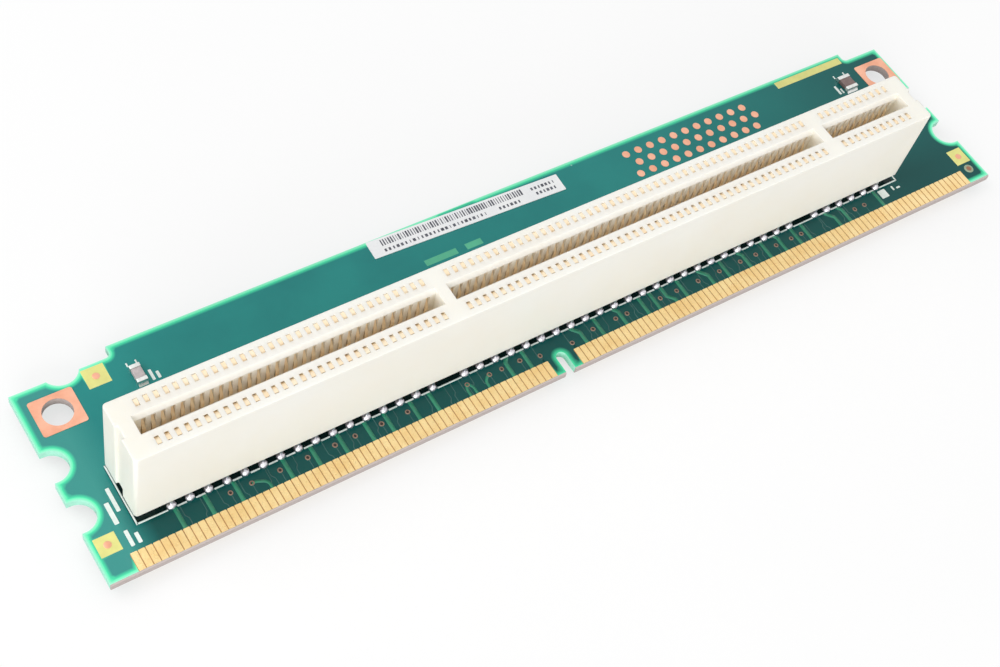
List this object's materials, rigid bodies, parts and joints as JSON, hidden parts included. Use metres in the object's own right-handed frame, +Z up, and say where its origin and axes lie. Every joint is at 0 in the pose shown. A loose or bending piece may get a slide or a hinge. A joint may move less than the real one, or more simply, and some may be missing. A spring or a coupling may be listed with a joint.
{
  "type": "pci-x riser card",
  "caption": "Flat green riser card with a gold edge tongue, latch notches and one long keyed cream card slot soldered along it, lying on its solder tails.",
  "frame": {"origin": "under the middle of the board, level with the tips of the solder tails that it rests on", "axes": "+X along the card from the end with the longer rear step, +Y from the gold edge to the rear edge, +Z up out of the card slot"},
  "size_m": [0.15, 0.0308, 0.0184],
  "materials": {
    "solder_mask": "gloss",
    "cream_plastic": "moulded satin",
    "contact_gold": "plated satin",
    "finger_gold": "plated satin",
    "solder": "reflowed",
    "bare_copper": "matte copper",
    "capacitor_ceramic": "fired",
    "terminal_tin": "tinned",
    "label_paper": "coated"
  },
  "bodies": {
    "root": {"circuit_board": "solder_mask", "connector_housing": "cream_plastic", "front_contacts_left": "contact_gold", "front_contacts_middle": "contact_gold", "front_contacts_right": "contact_gold", "tails_front_outer": "solder", "tails_front_inner": "solder", "rear_contacts_left": "contact_gold", "rear_contacts_middle": "contact_gold", "rear_contacts_right": "contact_gold", "tails_rear_outer": "solder", "tails_rear_inner": "solder", "top_fingers_left": "finger_gold", "top_fingers_right": "finger_gold", "bottom_fingers_left": "finger_gold", "bottom_fingers_right": "finger_gold", "mounting_land_left": "bare_copper", "capacitor_left_body": "capacitor_ceramic", "capacitor_left_terminals": "terminal_tin", "mounting_land_right": "bare_copper", "capacitor_right_body": "capacitor_ceramic", "capacitor_right_terminals": "terminal_tin", "paper_label": "label_paper"}
  },
  "joints": []
}
